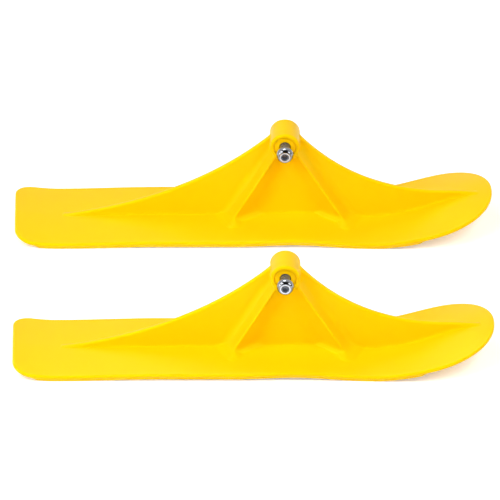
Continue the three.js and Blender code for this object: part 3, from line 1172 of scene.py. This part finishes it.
@dataclass(frozen=True)
class ButtonHead:
    """Domed head with a hexagon socket, shared by the axle's barrel and screw."""

    diameter: float = 13.5
    height: float = 5.2
    flat_diameter: float = 8.4
    rim: float = 1.1
    rim_edge: float = 0.35
    socket_flats: float = 5.0
    socket_depth: float = 2.8
    mouth_diameter: float = 6.7
    mouth_depth: float = 0.5
    mouth_bevel: tuple[float, float] = (0.08, 0.04)
    dimple_depth: float = 0.6
    dimple_share: float = 0.8
    flat_edge: float = 0.15
    neck_chamfer: float = 0.25
    dome_steps: int = 14

    def rings(self, seat: float, shank_radius: float) -> list[Ring]:
        """Rings from the socket's floor over the dome to the shank.

        Args:
            seat: place of the head's seat; the head stands towards -Y from it.
            shank_radius: radius of the shank that it runs into.

        Returns:
            The rings in order.
        """
        crown = seat - self.height
        corner = self.socket_flats / math.sqrt(3)
        floor = crown + self.socket_depth
        flat, radius = self.flat_diameter / 2, self.diameter / 2
        bevel_width, bevel_depth = self.mouth_bevel
        rings = [
            Ring(floor + self.dimple_depth, 0, zone=Zone.SHANK),
            Ring(floor, corner * self.dimple_share, zone=Zone.SHANK),
            Ring(floor, corner, flats=6, zone=Zone.SHANK),
            Ring(crown + self.mouth_depth, corner, flats=6, zone=Zone.SHANK),
            # The mouth's bevel and flat ring take the paler plate: a painted highlight round the socket.
            Ring(crown + bevel_depth, self.mouth_diameter / 2, zone=Zone.PAINTED_HIGHLIGHT),
            Ring(crown, self.mouth_diameter / 2 + bevel_width, zone=Zone.PAINTED_HIGHLIGHT),
            Ring(crown, flat - self.flat_edge, zone=Zone.PAINTED_HIGHLIGHT),
        ]
        for step in range(self.dome_steps + 1):
            turn = math.pi / 2 * step / self.dome_steps
            out = flat + (radius - flat) * math.sin(turn)
            rings.append(Ring(seat - self.rim - (self.height - self.rim) * math.cos(turn), out))
        rings += arc_rings(radius - self.rim_edge, seat - self.rim_edge, self.rim_edge, (0, 90))
        rings.append(Ring(seat, shank_radius + self.neck_chamfer, zone=Zone.SHANK))
        rings.append(Ring(seat + self.neck_chamfer, shank_radius, zone=Zone.SHANK))
        return rings


@dataclass(frozen=True)
class Axle:
    """The axle of one ski: a barrel with its head on the near side and a screw from the far side."""

    barrel_diameter: float = 8.0
    barrel_bore: float = 6.6
    barrel_bore_depth: float = 14.0
    near_seat: float = -21.0
    far_seat: float = 11.3
    barrel_setback: float = 3.3
    screw_diameter: float = 6.0
    screw_length: float = 14.0
    chamfer: float = 0.6
    head: ButtonHead = ButtonHead()

    def build_barrel(self, place: SkiPlace) -> bpy.types.Object:
        """Turns the barrel.

        Args:
            place: which ski it belongs to.

        Returns:
            The barrel's object, about the hub's centre.
        """
        radius, bore = self.barrel_diameter / 2, self.barrel_bore / 2
        end = self.far_seat - self.barrel_setback
        rings = [
            *self.head.rings(self.near_seat, radius),
            Ring(end - self.chamfer, radius),
            Ring(end, radius - self.chamfer / 2),
            Ring(end, bore),
            Ring(end - self.barrel_bore_depth, bore),
            Ring(end - self.barrel_bore_depth, 0),
        ]
        return turned_piece(place.named("axle_barrel_turned"), rings, closed=False)

    def build_screw(self, place: SkiPlace) -> bpy.types.Object:
        """Turns the screw, its head on the far side.

        Args:
            place: which ski it belongs to.

        Returns:
            The screw's object, about the hub's centre.
        """
        radius = self.screw_diameter / 2
        end = self.screw_length - self.far_seat
        rings = [
            *self.head.rings(-self.far_seat, radius),
            Ring(end - self.chamfer, radius),
            Ring(end, radius - self.chamfer),
            Ring(end, 0),
        ]
        return turned_piece(place.named("axle_screw_turned"), rings, closed=False, flip=True)


@dataclass(frozen=True)
class SoftBox:
    """A large soft lamp over the table that metal doesn't mirror, or a card that is only mirrored."""

    name: str
    size: float
    power: float
    position: tuple[float, float, float]
    aim: tuple[float, float, float] = (0.0, 0.0, 0.03)
    card: bool = False

    def build(self) -> None:
        """Hangs the lamp and turns it to its aim."""
        data = bpy.data.lights.new(self.name, "AREA")
        data.shape = "SQUARE"
        data.size = self.size
        data.energy = self.power
        lamp = add_object(self.name, data)
        lamp.visible_glossy = self.card
        lamp.visible_diffuse = not self.card
        lamp.location = self.position
        lamp.rotation_euler = (Vector(self.aim) - Vector(self.position)).to_track_quat("-Z", "Y").to_euler()


@dataclass(frozen=True)
class Studio:
    """White table, soft lamps and the camera at the photograph's angle."""

    elevation_deg: float = 34.0
    distance: float = 15.0
    millimetres_per_pixel: float = 0.793
    image_pixels: float = 500.0
    hub_pixel: tuple[float, float] = (285.0, 215.8)
    ski_step_pixels: float = 131.5
    sensor_mm: float = 36.0
    floor_size: float = 8.0
    sky: float = 0.03
    dark_room: float = 0.02
    wall_fade: tuple[float, float] = (-0.1, 0.45)
    floor_lift: float = 0.35
    floor_near: float = 0.45
    floor_far: float = 1.1
    floor_colour: str = "#f4f4f4"
    lamps: tuple[SoftBox, ...] = (
        SoftBox("key_softbox", 0.42, 1.2, (-0.93, -0.42, 0.62)),
        SoftBox("low_left_softbox", 0.8, 6.6, (-1.1, -1.3, 0.5)),
        SoftBox("front_right_softbox", 0.8, 18.9, (0.9, -0.8, 1.3)),
        SoftBox("front_left_softbox", 0.8, 17.2, (-0.9, -0.8, 1.3)),
        SoftBox("back_right_softbox", 0.8, 3.6, (0.8, 0.8, 1.0)),
        SoftBox("back_left_softbox", 0.8, 5.9, (-0.8, 0.8, 1.0)),
        SoftBox("left_card", 1.1, 16.0, (-0.93, -0.42, 0.62), card=True),
        SoftBox("right_card", 0.8, 8.0, (1.16, -0.5, 0.8), card=True),
        SoftBox("top_card", 0.5, 5.0, (-0.15, 0.5, 1.2), card=True),
    )

    def build_camera(self, hub: Vector, level: float) -> None:
        """Sets the camera so that the far ski's hub falls where the photograph has it.

        Args:
            hub: the hubs' place along X and the pair's middle across Y, in metres.
            level: height of the plates' flat level, in metres.
        """
        tilt = math.radians(self.elevation_deg)
        back = Vector((0, -math.cos(tilt), math.sin(tilt)))
        up = Vector((0, math.sin(tilt), math.cos(tilt)))
        scale = self.millimetres_per_pixel * MM
        middle_row = self.hub_pixel[1] + self.ski_step_pixels / 2
        target = Vector((hub.x, hub.y, level))
        target += Vector(((self.image_pixels / 2 - self.hub_pixel[0]) * scale, 0, 0))
        target += up * ((middle_row - self.image_pixels / 2) * scale)
        data = bpy.data.cameras.new("camera")
        data.sensor_width = self.sensor_mm
        data.lens = self.sensor_mm * self.distance / (self.image_pixels * scale)
        data.clip_end = self.distance * 3
        camera = add_object("camera", data)
        camera.location = target + back * self.distance
        camera.rotation_euler = (-back).to_track_quat("-Z", "Y").to_euler()
        bpy.context.scene.camera = camera

    def build_floor(self) -> bpy.types.Object:
        """Lays the table top, white to the camera but still taking the skis' shadow.

        Returns:
            The floor's object.
        """
        half = self.floor_size / 2 / MM
        corners = np.array([[-half, -half, 0], [half, -half, 0], [half, half, 0], [-half, half, 0]])
        floor = add_object("table_top", smooth_mesh("table_top", corners, [(0, 1, 2, 3)]))
        # Matt white laminate: no gloss, so that only the contact shadow shows.
        material = empty_material("matt_white_laminate")
        tree = material.node_tree
        path = add_node(tree, "LightPath")
        seen = path.outputs["Is Camera Ray"]
        for kind in ("Is Glossy Ray", "Is Transmission Ray"):
            links = {0: seen, 1: path.outputs[kind]}
            seen = add_node(tree, "Math", links=links, operation="MAXIMUM").outputs[0]
        # Far from the skis the lamps don't reach the table, so there it's white by itself.
        place = add_node(tree, "TexCoord").outputs["Object"]
        away = add_node(tree, "VectorMath", links={0: place}, operation="LENGTH")
        white = add_node(
            tree,
            "MapRange",
            {
                "From Min": self.floor_near,
                "From Max": self.floor_far,
                "To Min": self.floor_lift,
                "To Max": 1.0,
            },
            {"Value": away.outputs["Value"]},
        )
        lift = add_node(tree, "Math", links={0: seen, 1: white.outputs["Result"]}, operation="MULTIPLY")
        shader = add_node(
            tree,
            "BsdfPrincipled",
            {
                "Base Color": linear(self.floor_colour),
                "Roughness": 0.9,
                "Specular IOR Level": 0.0,
                "Emission Color": (1.0, 1.0, 1.0, 1.0),
            },
            {"Emission Strength": lift.outputs[0]},
        )
        add_node(tree, "OutputMaterial", links={"Surface": shader.outputs["BSDF"]})
        floor.data.materials.append(material)
        return floor

    def build_sky(self) -> None:
        """Lights the room evenly and shows white behind the table.

        Shiny faces also see the white wall behind the table, and the dark room in front of it.
        """
        world = bpy.data.worlds.new("white_room")
        bpy.context.scene.world = world
        world.use_nodes = True
        tree = world.node_tree
        tree.nodes.clear()
        path = add_node(tree, "LightPath")
        direction = add_node(
            tree, "SeparateXYZ", links={0: add_node(tree, "TexCoord").outputs["Generated"]}
        )
        wall = add_node(
            tree,
            "MapRange",
            {
                "From Min": self.wall_fade[0],
                "From Max": self.wall_fade[1],
                "To Min": self.dark_room,
                "To Max": 1.0,
            },
            {"Value": direction.outputs["Y"]},
            interpolation_type="SMOOTHSTEP",
        )
        shown = add_node(
            tree,
            "Mix",
            {MixInput.NUMBER_A: self.sky},
            {MixInput.FACTOR: path.outputs["Is Glossy Ray"], MixInput.NUMBER_B: wall.outputs["Result"]},
            data_type="FLOAT",
        )
        seen = add_node(
            tree,
            "Math",
            links={0: path.outputs["Is Camera Ray"], 1: path.outputs["Is Transmission Ray"]},
            operation="MAXIMUM",
        )
        strength = add_node(
            tree,
            "Mix",
            {MixInput.NUMBER_B: 1.0},
            {MixInput.FACTOR: seen.outputs[0], MixInput.NUMBER_A: shown.outputs[0]},
            data_type="FLOAT",
        )
        light = add_node(
            tree, "Background", {"Color": (1.0, 1.0, 1.0, 1.0)}, {"Strength": strength.outputs[0]}
        )
        add_node(tree, "OutputWorld", links={"Surface": light.outputs[0]})

    def build(self, hub: Vector, level: float) -> None:
        """Sets up the whole studio.

        Args:
            hub: the hubs' place along X and the pair's middle across Y, in metres.
            level: height of the plates' flat level, in metres.
        """
        self.build_camera(hub, level)
        self.build_floor()
        self.build_sky()
        for lamp in self.lamps:
            lamp.build()
        bpy.context.scene.view_settings.view_transform = "Standard"


def stand_for(piece: bpy.types.Object, body: str, node: str) -> None:
    """Ties a piece to its body, hides the node that it stands for, and reports it.

    Args:
        piece: the finished piece, in place.
        body: the body that it rides on.
        node: the node that it stands for.
    """
    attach(piece, body)
    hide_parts(node)
    LOG.info("%s rides on %s with %d faces", piece.name, body, len(piece.data.polygons))


def main() -> None:
    """Builds the studio, both skis and their axles."""
    logging.basicConfig(level=logging.INFO, format="%(message)s")
    hubs = {place: sum(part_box(place.named("spacer_tube")), Vector()) / 2 for place in SkiPlace}
    blade = SkiBlade()
    middle = sum(hubs.values(), Vector()) / len(hubs)
    Studio().build(middle, middle.z - blade.hub_height * MM)

    moulding = blade.build()
    blade.dress(moulding, YELLOW_POLYETHYLENE)
    nylon, steel = [YELLOW_NYLON.material()], [TURNED_STEEL.material()]
    # The middle plate is the painted highlight ring round the sockets.
    plated = [finish.material() for finish in (CHROME_PLATE, PAINTED_HIGHLIGHT_PLATE, ZINC_SHANK)]
    bushing, spacer, axle = FlangedBushing(), SpacerTube(), Axle()
    for place, hub in hubs.items():
        ski = blade.place(moulding, place, hub)
        stand_for(ski, "ski_pair", place.named("ski_blade"))
        sleeves, pin = place.named("bushing_set"), place.named("axle")
        hub_pieces = [
            (bushing.build(place, Side.NEAR), nylon, sleeves, "near_bushing", "bushing_plastic"),
            (bushing.build(place, Side.FAR), nylon, sleeves, "far_bushing", "bushing_plastic"),
            (spacer.build(place), steel, sleeves, "spacer_tube", "spacer_steel"),
            (axle.build_barrel(place), plated, pin, "axle_barrel", "axle_chrome"),
            (axle.build_screw(place), plated, pin, "axle_screw", "axle_chrome"),
        ]
        for piece, materials, body, node, slot in hub_pieces:
            piece.location = hub
            for material in materials:
                piece.data.materials.append(material)
            stand_for(piece, body, place.named(node))


if __name__ == "__main__":
    main()
